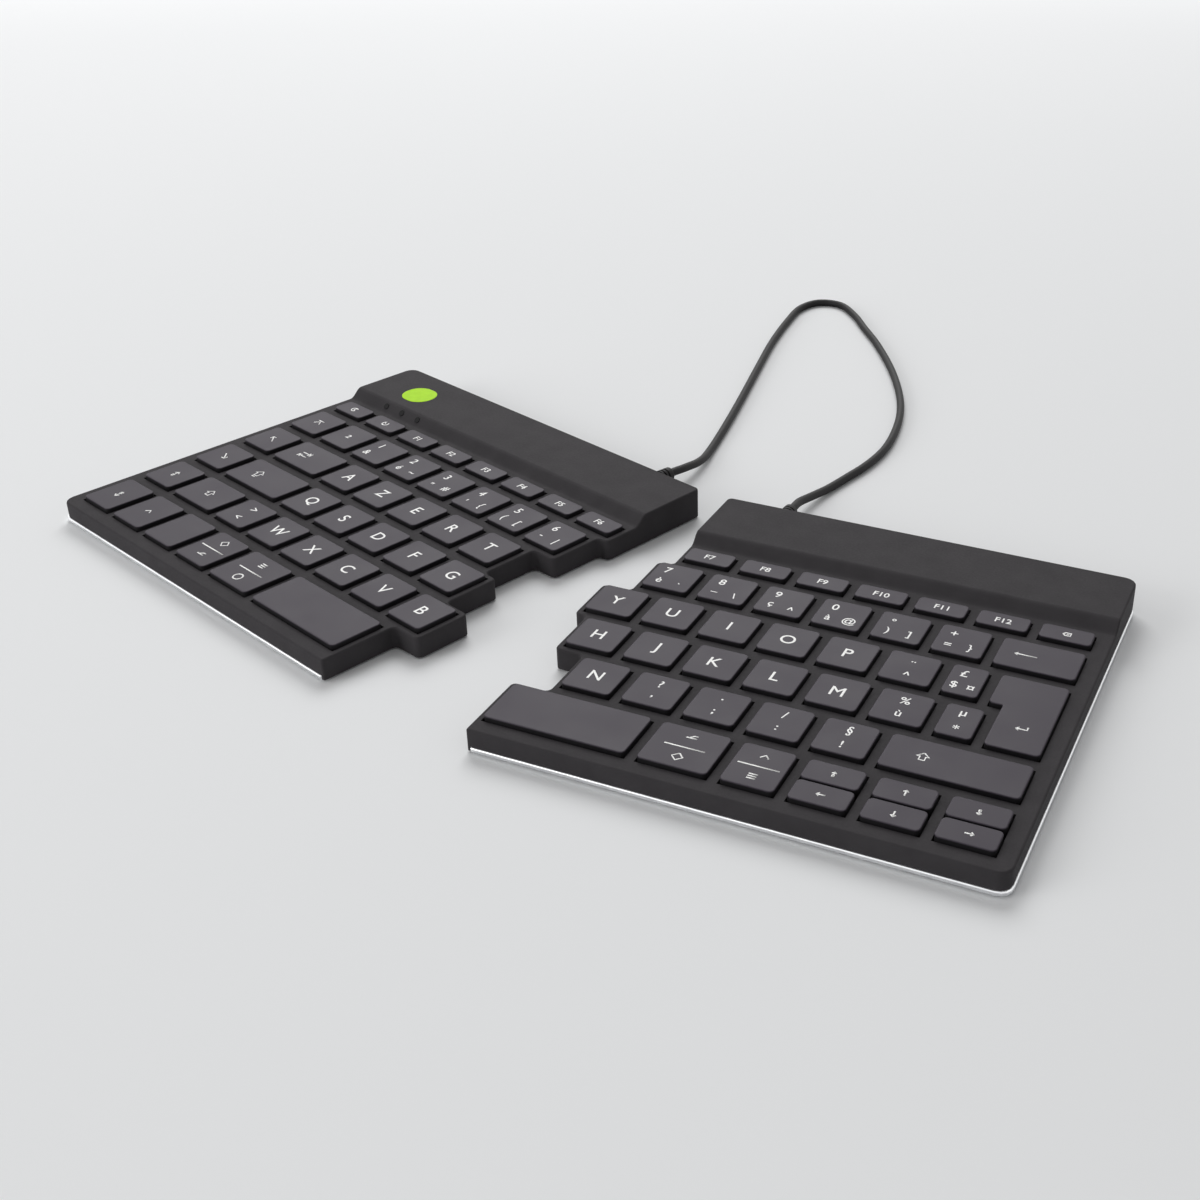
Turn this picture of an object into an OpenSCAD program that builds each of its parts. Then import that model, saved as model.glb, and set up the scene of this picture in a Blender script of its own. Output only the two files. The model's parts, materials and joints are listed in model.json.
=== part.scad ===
// Two-piece ergonomic keyboard: thin halves with island keys, a raised rear bar and a link cable.
// The halves stand on a desk at z = 0, splayed about the middle; +y points away from the typist.

/* [Key grid] */
// Centre distance of neighbouring keys along a row
key_pitch = 19; // [18:0.1:20]
// Free gap between neighbouring keys along a row
key_gap = 3.6; // [3.2:0.1:4.5]
// Free gap between two rows of keys
row_gap = 4.9; // [4.6:0.1:6]
// Depth of a standard key, front to back
key_depth = 15.4; // [13:0.1:17]
// Depth of a function key
fn_depth = 8; // [8:0.1:12]
// Depth of a key in the bottom row
bottom_depth = 18.2; // [18:0.1:22]
// Slit between the two half-height keys of a pair
pair_slit = 0.8; // [0.6:0.1:1.4]
// Corner radius of a key seen from above
key_r = 1.5; // [0.5:0.1:2.5]
// Radius of the Enter key's inner corner
nook_r = 0.4; // [0.2:0.1:0.6]

/* [Keys] */
// Height of the key tops above the deck
key_rise = 1.5; // [1.2:0.1:2.5]
// How far a key goes down
key_travel = 1.6; // [1:0.1:1.8]
// Thickness of a key's top
cap_t = 1; // [0.8:0.1:1.2]
// Thickness of a key's skirt
skirt_t = 1; // [0.7:0.1:1]
// Free gap round a key in its opening
key_clear = 0.35; // [0.3:0.05:0.5]
// How far a key's catches reach out from its skirt
catch_out = 0.8; // [0.7:0.05:0.85]
// Length of a catch along the skirt
catch_w = 3; // [2:0.5:5]
// Side of a key's square stem
stem_w = 3.4; // [3:0.1:3.4]
// Running gap of a stem in its sleeve
stem_clear = 0.3; // [0.25:0.05:0.35]
// Wall of a guide sleeve
sleeve_t = 0.7; // [0.6:0.1:0.7]

/* [Case] */
// Height of the deck above the desk
deck_h = 7.8; // [7.6:0.1:10]
// Thickness of the deck and of the bar's top
deck_t = 1.4; // [1:0.1:1.6]
// Thickness of the outer walls
wall_t = 1; // [0.8:0.1:1.05]
// Deck left outside the keys at the front and at the outer side
rim_out = 5.5; // [4:0.1:9]
// Deck left beside the keys along the stepped inner side
rim_in = 2.2; // [2.2:0.1:4]
// Radius of the outer corners seen from above
corner_r = 4; // [2:0.5:8]
// Radius of the corners of the steps
step_r = 1.8; // [1:0.1:2]
// Radius of the inner corner at the front
front_r = 0.8; // [0.5:0.1:2]
// Thickness of the metal base plate
plate_t = 1.4; // [1.2:0.1:1.6]
// How far the base plate stands proud of the front and outer walls
plate_lip = 0.5; // [0:0.1:1]
// Thickness of the rubber feet
foot_h = 0.7; // [0.5:0.1:1.2]
// Diameter of the rubber feet
foot_dia = 9; // [6:0.5:11]
// Thickness of the contact membrane
membrane_t = 0.3; // [0.2:0.05:0.4]
// Thickness of the guide frame's plate
frame_t = 0.8; // [0.6:0.1:1]
// Diameter of a screw's shank
screw_dia = 1.8; // [1.4:0.1:2]
// Diameter of a screw's head
head_dia = 3.4; // [2.8:0.1:4]
// Height of a screw's head
head_h = 0.7; // [0.5:0.1:0.8]
// Diameter of the screw bosses
boss_dia = 3.6; // [3.2:0.1:3.8]

/* [Rear bar] */
// Height of the bar's top above the deck
bar_rise = 3.5; // [3:0.1:6]
// Depth of the bar's flat top
bar_d = 26; // [24:0.5:40]
// Depth of the slope in front of the bar
slope_d = 5.5; // [4:0.5:10]
// Deck left between the function keys and the slope
bar_gap = 3.2; // [2:0.1:6]
// Radius of the bar's upper rear edge
bar_r = 1.2; // [0.5:0.1:1.3]

/* [Fittings] */
// Distance of the status lens from the left half's outer keys
lens_x = 18.6; // [14:0.2:60]
// Length of the status lens
lens_w = 13.5; // [6:0.5:16]
// Depth of the status lens
lens_d = 12.5; // [4:0.5:14]
// Diameter of the small indicator lenses
dot_dia = 2.4; // [1.5:0.1:3]
// Distance between the indicator lenses
dot_step = 9.5; // [5:0.5:12]
// Length of the battery
battery_w = 58; // [30:1:60]
// Depth of the battery
battery_d = 20; // [15:0.5:21]
// Thickness of the battery
battery_t = 4.6; // [3:0.1:5]
// Length of the controller boards
board_w = 50; // [46:1:54]
// Depth of the controller boards
board_d = 19; // [17:0.5:20]
// Thickness of the controller boards
board_t = 1.2; // [0.8:0.1:1.6]
// Height of the posts under the boards
post_h = 1.3; // [1:0.1:1.6]
// How far the power switch slides
switch_travel = 3; // [2:0.1:4]

/* [Stance] */
// Angle between the two halves
split_angle = 19; // [0:0.5:30]
// Gap between the inner rear corners of the halves
rear_gap = 12; // [12:0.5:40]

/* [Cable] */
// Diameter of the link cable
cable_dia = 3; // [2.5:0.1:3.2]
// Length of a boot outside the case
boot_len = 9; // [6:0.5:14]
// Diameter of a boot at the case
boot_dia = 6; // [5.4:0.1:6.4]
// Diameter of a boot at its mouth
boot_tip_dia = 5; // [4.8:0.1:5.2]
// Distance of the left boot from the left half's outer keys
left_boot_x = 131; // [126:0.5:140]
// Distance of the right boot from the right half's outer keys
right_boot_x = 116; // [90:0.5:122]

/* [Hidden] */
$fn = 32;
eps = 0.01;
seat = 0.05;
case_color = [0.16, 0.15, 0.15];
cap_color = [0.27, 0.26, 0.28];
metal_color = [0.8, 0.81, 0.82];
rubber_color = [0.08, 0.08, 0.08];
frame_color = [0.35, 0.35, 0.36];
board_color = [0.1, 0.3, 0.16];

// Key widths in units of the pitch, row by row from the back, each from the outer side inwards
fn_u = 1.03;
alt_u = 1.27;
pair_u = 1.04;
narrow_u = 0.75;
enter_top_u = 1.23;
enter_low_u = 1.01;
left_rows = [
    [1, fn_u, fn_u, fn_u, fn_u, fn_u, fn_u, fn_u],
    [1, 1, 1, 1, 1, 1, 1, 1],
    [1, 1.5, 1, 1, 1, 1, 1],
    [1, 1.8, 1, 1, 1, 1, 1],
    [1, 1.35, 1, 1, 1, 1, 1, 1],
    [1, fn_u, fn_u, fn_u, alt_u, 2.42]
];
right_rows = [
    [fn_u, fn_u, fn_u, fn_u, fn_u, fn_u, fn_u],
    [1.48, 1, 1, 1, 1, 1, 1],
    [enter_top_u, narrow_u, 1, 1, 1, 1, 1, 1],
    [enter_low_u, narrow_u, 1, 1, 1, 1, 1, 1],
    [2.25, 1, 1, 1, 1, 1],
    [pair_u, pair_u, pair_u, 1, alt_u, 2.48]
];
bottom_row = 5;
pair_count = 3;
wide_key = 35;

// Heights above the desk
plate_z = foot_h;
floor_z = plate_z + plate_t;
frame_z = floor_z + membrane_t;
ceiling_z = deck_h - deck_t;
bar_h = deck_h + bar_rise;
key_z = deck_h + key_rise;
catch_t = 0.5;
skirt_z = ceiling_z - 0.3 - catch_t;
sleeve_top = key_z - cap_t - key_travel - 0.3;
pad_h = 0.3;
stem_z = frame_z + pad_h + 0.3 + key_travel;
cable_z = floor_z + 3.9;

// Inside width of a guide sleeve, and a length past the ends of a half
bore_w = stem_w + 2 * stem_clear;
reach = 16 * key_pitch;

// Places front to back, with the front of the number row at y = 0
row_pitch = key_depth + row_gap;
slope_y = row_pitch + fn_depth + bar_gap;
rear_y = slope_y + slope_d + bar_d;
front_y = -3 * row_pitch - row_gap - bottom_depth - rim_out;

function row_y(r) = r < bottom_row ? (1 - r) * row_pitch : -3 * row_pitch - row_gap - bottom_depth;
function row_d(r) = r == 0 ? fn_depth : r == bottom_row ? bottom_depth : key_depth;
function total(v, n) = n == 0 ? 0 : v[n - 1] + total(v, n - 1);
function rows(side) = side > 0 ? left_rows : right_rows;
function row_len(side, r) = total(rows(side)[r], len(rows(side)[r])) * key_pitch - key_gap;

// A key's corner and size: [x, y, width, depth]
// The left half runs to +x from its outer keys, the right half to -x
function key_box(side, r, i) =
    let (near = total(rows(side)[r], i) * key_pitch, w = rows(side)[r][i] * key_pitch - key_gap)
    [side > 0 ? near : -near - w, row_y(r), w, row_d(r)];
function half_box(i, upper) =
    let (b = key_box(-1, bottom_row, i), d = (bottom_depth - pair_slit) / 2)
    [b[0], b[1] + (upper ? d + pair_slit : 0), b[2], d];
function is_enter(side, r, i) = side < 0 && i == 0 && (r == 2 || r == 3);
function is_pair(side, r, i) = side < 0 && r == bottom_row && i < pair_count;
function key_list(side) = [
    for (r = [0 : bottom_row]) for (i = [0 : len(rows(side)[r]) - 1])
        if (!is_enter(side, r, i)) each is_pair(side, r, i)
            ? [half_box(i, false), half_box(i, true)] : [key_box(side, r, i)]
];
function corners(b) = [
    [b[0], b[1]],
    [b[0] + b[2], b[1]],
    [b[0] + b[2], b[1] + b[3]],
    [b[0], b[1] + b[3]]
];
function stems(b) =
    let (c = [b[0] + b[2] / 2, b[1] + b[3] / 2], out = [b[2] / 2 - 6, 0])
    b[2] > wide_key ? [c - out, c, c + out] : [c];

// The Enter key's outline, wider in its upper row, and its one stem
enter_top = key_box(-1, 2, 0);
enter_low = key_box(-1, 3, 0);
enter_pts = [
    [enter_low[0], enter_low[1]],
    [0, enter_low[1]],
    [0, enter_top[1] + key_depth],
    [enter_top[0], enter_top[1] + key_depth],
    [enter_top[0], enter_top[1]],
    [enter_low[0], enter_top[1]]
];
enter_stem = [enter_low[0] / 2, enter_low[1] + row_pitch / 2 + key_depth / 2];
function all_stems(side) =
    concat([for (b = key_list(side)) each stems(b)], side < 0 ? [enter_stem] : []);

// Square-cornered outlines: moved inwards edge by edge, and with rounded corners
function unit(v) = v / norm(v);
function left_of(v) = [-v.y, v.x];
function edge(pts, i) = let (n = len(pts)) unit(pts[(i + 1) % n] - pts[(i + n) % n]);
function inset_by(pts, d) = let (n = len(pts)) [
    for (i = [0 : n - 1])
        pts[i] + left_of(edge(pts, i - 1 + n)) * d[(i - 1 + n) % n] + left_of(edge(pts, i)) * d[i]
];
function inset(pts, d) = inset_by(pts, [for (p = pts) d]);
function rounded_by(pts, radii, steps = 4) = let (n = len(pts)) [
    for (i = [0 : n - 1])
        let (
            back = -edge(pts, i - 1 + n),
            ahead = edge(pts, i),
            r = radii[i],
            mid = pts[i] + (back + ahead) * r
        )
            for (k = [0 : steps])
                mid - ahead * r * cos(90 * k / steps) - back * r * sin(90 * k / steps)
];
function rounded(pts, r, steps = 4) = rounded_by(pts, [for (p = pts) r], steps);
function bends_out(pts, i) = cross(edge(pts, i - 1 + len(pts)), edge(pts, i)) > 0;
function key_radii(pts) = [for (i = [0 : len(pts) - 1]) bends_out(pts, i) ? key_r : nook_r];
function turned(p, a) = [p.x * cos(a) - p.y * sin(a), p.x * sin(a) + p.y * cos(a)];

// Outline of a half, counter-clockwise from the front left
// The inner side steps round the longer of two rows
function step_y(side, r) =
    row_len(side, r) > row_len(side, r + 1) ? row_y(r) - rim_in : row_y(r + 1) + row_d(r + 1) + rim_in;
function inner_x(side, r) = side * (row_len(side, r) + rim_in);
function inner_side(side) = [
    for (r = [bottom_row : -1 : 0])
        each [
            [inner_x(side, r), r == bottom_row ? front_y : step_y(side, r)],
            [inner_x(side, r), r == 0 ? rear_y : step_y(side, r - 1)]
        ]
];
left_outline = concat([[-rim_out, front_y]], inner_side(1), [[-rim_out, rear_y]]);
right_outline = concat(
    [[rim_out, front_y], [rim_out, rear_y]],
    let (s = inner_side(-1)) [for (i = [len(s) - 1 : -1 : 0]) s[i]]
);
function outline(side) = side > 0 ? left_outline : right_outline;
function is_outer(p) = abs(abs(p.x) - rim_out) < eps;
function case_radii(side, shrink = 0) =
    [for (p = outline(side)) is_outer(p) ? corner_r - shrink : p.y == front_y ? front_r : step_r];
function case_pts(side) = rounded_by(outline(side), case_radii(side));

// The plate stands proud at the front and outer edges and stays inside the walls elsewhere
function shows(a, b) = (a.y == front_y && b.y == front_y) || (is_outer(a) && is_outer(b));
function plate_edges(side, room) = let (p = outline(side), n = len(p)) [
    for (i = [0 : n - 1]) shows(p[i], p[(i + 1) % n]) ? -plate_lip : wall_t + room
];
function plate_pts(side, room) =
    rounded_by(inset_by(outline(side), plate_edges(side, room)), case_radii(side));

// Stance: the inner rear corners face each other, and the whole is centred on its own box
left_turn = -split_angle / 2;
right_turn = split_angle / 2;
function turn(side) = side > 0 ? left_turn : right_turn;
function stand(side, p) =
    turned(p - [inner_x(side, 0), rear_y], turn(side)) + [-side * rear_gap / 2, 0];
stance_pts = [for (s = [1, -1]) for (p = concat(case_pts(s), plate_pts(s, 0))) stand(s, p)];
low = [min([for (p = stance_pts) p.x]), min([for (p = stance_pts) p.y])];
high = [max([for (p = stance_pts) p.x]), max([for (p = stance_pts) p.y])];
centre = (low + high) / 2;

// Screws: two between the number and letter rows, two above the bottom row, two in the bar
screw_rows = [-row_gap / 2, row_y(4) - row_gap / 2];
function screw_spots(side) = [
    for (y = screw_rows) for (x = [key_pitch, 6 * key_pitch]) [side * x, y],
    for (x = [-1.5, row_len(side, 0) - 3]) [side * x, rear_y - wall_t - 4]
];
function foot_spots(side) = [
    for (y = [front_y + 12, rear_y - 16])
        for (x = [8, row_len(side, 4) - 16]) [side * x, y],
    [side * 4 * key_pitch, -row_pitch - row_gap / 2]
];

// Fittings in the bars, from the wall inwards
bar_in_y = slope_y + slope_d + 1;
board_x = 70;
board_y = rear_y - wall_t - 0.6 - board_d;
board_z = floor_z + post_h;
battery_y = rear_y - wall_t - 0.6 - battery_d;
right_board_x = 46;
socket_w = 9;
socket_h = 3.2;
socket_d = 7.4;
socket_x = board_x + 7;
socket_z = board_z + board_t;
switch_x = board_x + 32;
switch_w = 4;
switch_z = socket_z + 1.2;
switch_h = 2.4;
lens_y = slope_y + slope_d + bar_d * 0.4;
dot_x = lens_x - 4;
slope_lean = atan2(bar_rise, slope_d) * 1.35;
bore_dia = cable_dia + 1;
bore_d = 2;
stub = 1.2;
function boot_x(side) = side > 0 ? left_boot_x : -right_boot_x;
function mouth(side) = stand(side, [boot_x(side), rear_y + boot_len]);
function boot_way(side) = turned([0, 1], turn(side));

// The cable's route behind the halves, measured from the middle between their rear corners
route_mid = [
    [-27, 22, 5], [-28, 33, 3], [-32, 46, 1.6], [-39, 67, 1.6], [-48, 92, 1.6], [-60, 124, 1.6],
    [-71, 154, 1.6], [-79, 181, 1.6], [-82, 196, 1.6], [-79, 207, 1.6], [-69, 210, 1.6], [-57, 202, 1.6],
    [-45, 190, 1.6], [-31, 176, 1.6], [-13, 155, 1.6], [2, 134, 1.6], [12, 116, 1.6], [19, 98, 1.6],
    [23, 82, 1.6], [24, 67, 1.6], [23, 53, 1.6], [22, 41, 1.8], [21.5, 30, 3.2], [22, 21, 5]
];
function at(p, z) = [p.x, p.y, z];
function mouth_point(side, out) = at(mouth(side) + boot_way(side) * out, cable_z);
route = concat(
    [mouth_point(1, -stub), mouth_point(1, 2)], route_mid, [mouth_point(-1, 2), mouth_point(-1, -stub)]
);
// A smooth curve through the route's points
function spline(a, b, c, d, t) =
    0.5 * (2 * b + (c - a) * t + (2 * a - 5 * b + 4 * c - d) * t * t
        + (3 * b - a - 3 * c + d) * t * t * t);
function smooth(p, steps) = let (n = len(p)) concat(
    [for (i = [0 : n - 2]) for (k = [0 : steps - 1])
        spline(p[max(i - 1, 0)], p[i], p[i + 1], p[min(i + 2, n - 1)], k / steps)],
    [p[n - 1]]
);

module place(side)
    translate(at(stand(side, [0, 0]) - centre, 0))
        rotate(turn(side))
            children();

module prism(pts, z0, z1)
    translate([0, 0, z0])
        linear_extrude(z1 - z0)
            polygon(pts);

module spots(pts, z, h, dia)
    for (p = pts)
        translate([p.x, p.y, z])
            cylinder(h = h, d = dia);

module squares(pts, side, z, h)
    translate([0, 0, z])
        linear_extrude(h)
            for (p = pts)
                translate(p)
                    square(side, center = true);

// The bar seen from the side: an easy rise from the deck, then flat to the rounded rear edge
function bar_profile(drop, rear) = let (steps = 8, r = drop > 0 ? eps : bar_r) concat(
    [[rear, plate_z - 1]],
    [for (k = [0 : 3]) [rear - r + r * cos(30 * k), bar_h - drop - r + r * sin(30 * k)]],
    [for (k = [steps : -1 : 0])
        [slope_y + slope_d * k / steps, deck_h - drop + bar_rise * (1 - cos(180 * k / steps)) / 2]],
    [[slope_y, plate_z - 1]]
);

module bar_run(drop, rear)
    translate([-reach, 0, 0])
        rotate([90, 0, 90])
            linear_extrude(2 * reach)
                polygon(bar_profile(drop, rear));

module key_openings(side) {
    for (r = [0 : bottom_row], i = [0 : len(rows(side)[r]) - 1])
        if (!is_enter(side, r, i))
            prism(inset(corners(key_box(side, r, i)), -key_clear), ceiling_z - 1, deck_h + 1);
    if (side < 0)
        prism(inset(enter_pts, -key_clear), ceiling_z - 1, deck_h + 1);
}

module top_case(side) {
    inner = inset(outline(side), wall_t);
    difference() {
        union() {
            prism(case_pts(side), plate_z, deck_h);
            intersection() {
                prism(case_pts(side), plate_z, bar_h);
                bar_run(0, rear_y);
            }
        }
        prism(rounded_by(inner, case_radii(side, wall_t)), plate_z - 1, ceiling_z);
        intersection() {
            prism(rounded_by(inner, case_radii(side, wall_t)), plate_z - 1, bar_h);
            bar_run(deck_t, rear_y - wall_t);
        }
        prism(plate_pts(side, seat), plate_z - 1, floor_z);
        key_openings(side);
        boot_hole(side);
        if (side > 0)
            fitting_holes();
    }
    for (p = screw_spots(side))
        difference() {
            translate([p.x, p.y, floor_z])
                cylinder(h = (p.y > slope_y ? bar_h : deck_h) - deck_t / 2 - floor_z, d = boss_dia);
            translate([p.x, p.y, floor_z - 1])
                cylinder(h = 4.2, d = screw_dia + seat);
        }
}

module boot_hole(side)
    translate([boot_x(side), rear_y + 1, cable_z])
        rotate([90, 0, 0])
            cylinder(h = wall_t + 2, d = boot_dia + seat);

module fitting_holes() {
    prism(lens_pts(seat), ceiling_z, bar_h + 1);
    dots(seat, 4);
    translate([socket_x - seat, rear_y - wall_t - 1, socket_z - seat])
        cube([socket_w + 2 * seat, wall_t + 2, socket_h + 2 * seat]);
    translate([switch_x - 0.3, rear_y - wall_t - 1, switch_z - 0.3])
        cube([switch_w + switch_travel + 0.6, wall_t + 2, switch_h + 0.6]);
}

module base_plate(side)
    difference() {
        union() {
            prism(plate_pts(side, seat * 2), plate_z, floor_z);
            spots(board_posts(side), floor_z - eps, post_h + eps, 4);
        }
        spots(screw_spots(side), plate_z - 1, head_h + 1, head_dia + 2 * seat);
        spots(screw_spots(side), plate_z, plate_t + 1, screw_dia + 2 * seat);
    }

// The part of a half under its keys
module key_field(side, gap)
    intersection() {
        polygon(rounded_by(inset(outline(side), wall_t + gap), case_radii(side, wall_t + gap)));
        translate([-reach, front_y - 1])
            square([2 * reach, slope_y - front_y - 1]);
    }

module key_frame(side)
    difference() {
        union() {
            translate([0, 0, frame_z])
                linear_extrude(frame_t)
                    key_field(side, 0.6);
            squares(all_stems(side), bore_w + 2 * sleeve_t, frame_z, sleeve_top - frame_z);
        }
        squares(all_stems(side), bore_w, frame_z - 1, sleeve_top - frame_z + 2);
        spots(screw_spots(side), frame_z - 1, frame_t + 2, boss_dia + 0.6);
    }

module membrane(side)
    difference() {
        union() {
            translate([0, 0, floor_z])
                linear_extrude(membrane_t)
                    key_field(side, 0.8);
            squares(all_stems(side), stem_w - 0.4, frame_z - eps, pad_h + eps);
        }
        spots(screw_spots(side), floor_z - 1, membrane_t + 2, boss_dia + 0.6);
    }

function board_left(side) = side > 0 ? board_x : -right_board_x - board_w;
function board_posts(side) = [
    for (x = [3, board_w - 3]) for (y = [3, board_d - 3]) [board_left(side) + x, board_y + y]
];

module controller(side) {
    translate([board_left(side), board_y, board_z])
        cube([board_w, board_d, board_t]);
    translate([board_left(side) + board_w / 2 - 5, board_y + 3, board_z + board_t - eps])
        cube([10, 8, 1]);
    translate([board_left(side) + 3, board_y + 1, board_z + board_t - eps])
        cube([12, 3, 1.6]);
}

module feet(side)
    spots(foot_spots(side), 0, foot_h, foot_dia);

module screws(side)
    for (p = screw_spots(side))
        translate([p.x, p.y, plate_z]) {
            cylinder(h = head_h, d = head_dia);
            cylinder(h = plate_t + 2.8, d = screw_dia);
        }

// A moulded boot: a collar inside the wall, a neck through it and a tapering sleeve
// with the cable's bore
module gland(side)
    translate([boot_x(side), rear_y, cable_z])
        rotate([-90, 0, 0])
            difference() {
                union() {
                    translate([0, 0, -wall_t - 2])
                        cylinder(h = 2, d = boot_dia + 1.2);
                    translate([0, 0, -wall_t - eps])
                        cylinder(h = wall_t + 2 * eps, d = boot_dia);
                    cylinder(h = boot_len, d1 = boot_dia, d2 = boot_tip_dia);
                }
                translate([0, 0, boot_len - bore_d])
                    cylinder(h = bore_d + 1, d = bore_dia);
            }

function lens_pts(room) = rounded(inset([
    [lens_x - lens_w / 2, lens_y - lens_d / 2],
    [lens_x + lens_w / 2, lens_y - lens_d / 2],
    [lens_x + lens_w / 2, lens_y + lens_d / 2],
    [lens_x - lens_w / 2, lens_y + lens_d / 2]
], -room), lens_d / 2 - 0.2);

module lens()
    prism(lens_pts(0), bar_h - deck_t, bar_h + 0.2);

// Small lenses square to the middle of the slope
module dots(room, deep)
    for (k = [0 : 2])
        translate([dot_x + k * dot_step, slope_y + slope_d / 2, deck_h + bar_rise / 2])
            rotate([slope_lean, 0, 0])
                translate([0, 0, -deep])
                    cylinder(h = deep + (room > 0 ? 3 : 0.2), d = dot_dia + 2 * room);

module battery_pack()
    translate([4, battery_y, floor_z])
        cube([battery_w, battery_d, battery_t]);

module socket()
    translate([socket_x, rear_y - socket_d, socket_z])
        difference() {
            cube([socket_w, socket_d, socket_h]);
            translate([0.3, 1, 0.3])
                cube([socket_w - 0.6, socket_d, socket_h - 0.6]);
        }

// A knob outside the wall, its neck in the slot and a plate behind the wall
module switch_knob() {
    translate([switch_x, rear_y - wall_t - 1.5, switch_z])
        cube([switch_w, wall_t + 2.7, switch_h]);
    translate([switch_x - 1, rear_y - wall_t - 1.5, switch_z - 0.8])
        cube([switch_w + 2, 1.2, switch_h + 1.6]);
}

// Rings of the cable, each square to the curve there
module tube(path, dia, sides) {
    n = len(path);
    rings = [
        for (i = [0 : n - 1])
            let (
                ahead = unit(path[min(i + 1, n - 1)] - path[max(i - 1, 0)]),
                across = unit(cross(ahead, [0, 0, 1])),
                upward = cross(across, ahead)
            )
                for (k = [0 : sides - 1])
                    path[i] + (across * cos(360 * k / sides) + upward * sin(360 * k / sides)) * dia / 2
    ];
    walls = [
        for (i = [0 : n - 2]) for (k = [0 : sides - 1])
            let (a = i * sides + k, b = i * sides + (k + 1) % sides)
                each [[a, b, b + sides], [a, b + sides, a + sides]]
    ];
    ends = [
        [for (k = [sides - 1 : -1 : 0]) k],
        [for (k = [0 : sides - 1]) (n - 1) * sides + k]
    ];
    polyhedron(rings, concat(walls, ends));
}

// A keycap: hollow under its top, with stems for the sleeves and catches under the deck
module keycap(pts, stem_list, catches) {
    difference() {
        prism(rounded_by(pts, key_radii(pts), 3), skirt_z, key_z);
        prism(inset(pts, skirt_t), skirt_z - 1, key_z - cap_t);
    }
    for (p = stem_list)
        translate([p.x - stem_w / 2, p.y - stem_w / 2, stem_z])
            cube([stem_w, stem_w, key_z - cap_t / 2 - stem_z]);
    for (c = catches)
        translate([c.x - (c.z > 0 ? skirt_t / 2 : catch_out), c.y - catch_w / 2, skirt_z])
            cube([skirt_t / 2 + catch_out, catch_w, catch_t]);
}

module box_key(b)
    keycap(corners(b), stems(b), [[b[0], b[1] + b[3] / 2, -1], [b[0] + b[2], b[1] + b[3] / 2, 1]]);

module key_set(side, picks)
    color(cap_color)
        place(side)
            for (k = picks)
                box_key(key_box(side, k[0], k[1]));

module enter_key()
    color(cap_color)
        place(-1)
            keycap(enter_pts, [enter_stem],
                [[enter_low[0], enter_low[1] + key_depth / 2, -1], [0, enter_low[1] + row_pitch, 1]]);

module pair_keys()
    color(cap_color)
        place(-1)
            for (i = [0 : pair_count - 1], upper = [false, true])
                box_key(half_box(i, upper));

module left_top_case() color(case_color) place(1) top_case(1);
module left_base_plate() color(metal_color) place(1) base_plate(1);
module left_key_frame() color(frame_color) place(1) key_frame(1);
module left_membrane() color(rubber_color) place(1) membrane(1);
module left_controller() color(board_color) place(1) controller(1);
module left_feet() color(rubber_color) place(1) feet(1);
module left_screws() color(metal_color) place(1) screws(1);
module left_gland() color(rubber_color) place(1) gland(1);
module status_lens() color([0.45, 0.85, 0.1]) place(1) lens();
module indicator_lenses() color([0.05, 0.05, 0.05]) place(1) dots(0, 2);
module battery() color([0.7, 0.72, 0.75]) place(1) battery_pack();
module charge_socket() color(metal_color) place(1) socket();
module power_switch() color(rubber_color) place(1) switch_knob();
module right_top_case() color(case_color) place(-1) top_case(-1);
module right_base_plate() color(metal_color) place(-1) base_plate(-1);
module right_key_frame() color(frame_color) place(-1) key_frame(-1);
module right_membrane() color(rubber_color) place(-1) membrane(-1);
module right_controller() color(board_color) place(-1) controller(-1);
module right_feet() color(rubber_color) place(-1) feet(-1);
module right_screws() color(metal_color) place(-1) screws(-1);
module right_gland() color(rubber_color) place(-1) gland(-1);
module link_cable() color(rubber_color) translate(at(-centre, 0)) tube(smooth(route, 2), cable_dia, 8);

module key_a() key_set(1, [[2, 2]]);
module key_z() key_set(1, [[2, 3]]);
module key_e() key_set(1, [[2, 4]]);
module key_r() key_set(1, [[2, 5]]);
module key_t() key_set(1, [[2, 6]]);
module key_q() key_set(1, [[3, 2]]);
module key_s() key_set(1, [[3, 3]]);
module key_d() key_set(1, [[3, 4]]);
module key_f() key_set(1, [[3, 5]]);
module key_g() key_set(1, [[3, 6]]);
module key_w() key_set(1, [[4, 3]]);
module key_x() key_set(1, [[4, 4]]);
module key_c() key_set(1, [[4, 5]]);
module key_v() key_set(1, [[4, 6]]);
module key_b() key_set(1, [[4, 7]]);
module left_space() key_set(1, [[5, 5]]);
module left_function_keys() key_set(1, [for (i = [0 : 7]) [0, i]]);
module left_number_keys() key_set(1, [for (i = [1 : 7]) [1, i]]);
module left_outer_keys() key_set(1, [for (r = [1 : 5]) [r, 0]]);
module left_wide_keys() key_set(1, [[2, 1], [3, 1], [4, 1], [4, 2]]);
module left_bottom_keys() key_set(1, [for (i = [1 : 4]) [5, i]]);
module key_y() key_set(-1, [[2, 7]]);
module key_u() key_set(-1, [[2, 6]]);
module key_i() key_set(-1, [[2, 5]]);
module key_o() key_set(-1, [[2, 4]]);
module key_p() key_set(-1, [[2, 3]]);
module key_h() key_set(-1, [[3, 7]]);
module key_j() key_set(-1, [[3, 6]]);
module key_k() key_set(-1, [[3, 5]]);
module key_l() key_set(-1, [[3, 4]]);
module key_m() key_set(-1, [[3, 3]]);
module key_n() key_set(-1, [[4, 5]]);
module right_space() key_set(-1, [[5, 5]]);
module key_enter() enter_key();
module right_function_keys() key_set(-1, [for (i = [0 : 6]) [0, i]]);
module right_number_keys() key_set(-1, [for (i = [0 : 6]) [1, i]]);
module right_symbol_keys()
    key_set(-1, concat([[2, 1], [2, 2], [3, 1], [3, 2]], [for (i = [0 : 4]) [4, i]]));
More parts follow.
